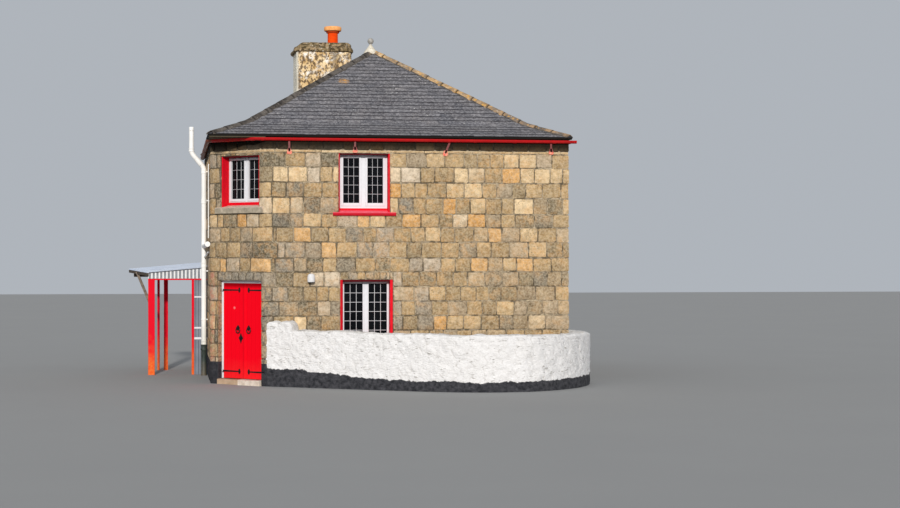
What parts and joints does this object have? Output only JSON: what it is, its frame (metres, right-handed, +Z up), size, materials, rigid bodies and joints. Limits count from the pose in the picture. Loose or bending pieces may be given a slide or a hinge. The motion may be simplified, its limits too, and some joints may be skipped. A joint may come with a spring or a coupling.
{
  "type": "stone cottage",
  "caption": "Stone cottage with a slate pyramid roof, a canted entrance corner with paired plank doors, a lean-to porch and a whitewashed garden wall.",
  "frame": {"origin": "centre of the house's square plan at ground level, on the underside of the ground floor slab", "axes": "+X to the right along the main face, +Y from the main face towards the back, +Z up"},
  "size_m": [9.635, 9.7905, 8.01],
  "materials": {
    "stone": "coursed squared stone, weathered",
    "slate": "riven slate, matt",
    "hip_tile": "weathered with lichen",
    "render": "rough lime render, stained",
    "clay": "unglazed terracotta",
    "mortar": "lime mortar",
    "red_door": "gloss paint on boards",
    "red_trim": "gloss paint",
    "red_post": "paint, faded near the ground",
    "white_frame": "gloss paint",
    "white_pipe": "satin",
    "pane": "clear",
    "boards": "weathered boards",
    "sheet": "corrugated sheet",
    "whitewash": "whitewashed rubble, dark painted foot",
    "sill_stone": "dressed stone",
    "dark_pipe": "dark paint"
  },
  "bodies": {
    "house": {"front_wall": "stone", "right_wall": "stone", "back_wall": "stone", "left_wall": "stone", "corner_wall_over_door": "stone", "corner_pier_left": "stone", "ground_floor": "boards", "upper_floor": "boards", "roof_front": "slate", "roof_right": "slate", "roof_back": "slate", "roof_left": "slate", "hip_tiles": "hip_tile", "hip_tiles_behind_chimney": "hip_tile", "finial": "mortar", "corner_soffit": "boards", "chimney_stack": "render", "chimney_cap": "render", "chimney_pot": "clay", "gutter_front_and_left": "red_trim", "gutter_back_and_right": "red_trim", "window_front_upper_frame": "white_frame", "window_front_upper_glass": "pane", "window_front_upper_sill": "red_trim", "window_front_lower_frame": "white_frame", "window_front_lower_glass": "pane", "window_front_lower_sill": "red_trim", "window_corner_upper_frame": "white_frame", "window_corner_upper_glass": "pane", "window_corner_upper_sill": "sill_stone", "window_right_upper": "white_frame", "window_right_lower": "white_frame", "window_back_upper": "white_frame", "window_back_lower": "white_frame", "door_frame": "white_frame", "threshold": "sill_stone", "side_door": "red_door", "porch_roof": "sheet", "porch_front_frame": "red_post", "porch_back_frame": "red_post", "porch_front_infill": "sheet", "porch_side_panel": "sheet", "soil_pipe": "white_pipe", "soil_pipe_foot": "dark_pipe", "wall_lamp": "white_frame", "garden_wall_raised_end": "whitewash", "garden_wall_1": "whitewash", "garden_wall_2": "whitewash", "garden_wall_3": "whitewash", "garden_wall_4": "whitewash", "garden_wall_5": "whitewash", "garden_wall_6": "whitewash"},
    "left_leaf": {"door_leaf_left": "red_door"},
    "right_leaf": {"door_leaf_right": "red_door"}
  },
  "joints": [
    {"name": "left_leaf_hinge", "type": "hinge", "parent": "house", "child": "left_leaf", "pos_m": [-3.44567, -2.72442, 0], "axis": [0, 0, -1], "range_deg": [0, 90]},
    {"name": "right_leaf_hinge", "type": "hinge", "parent": "house", "child": "right_leaf", "pos_m": [-2.66078, -3.50931, 0], "axis": [0, 0, 1], "range_deg": [0, 90]}
  ]
}
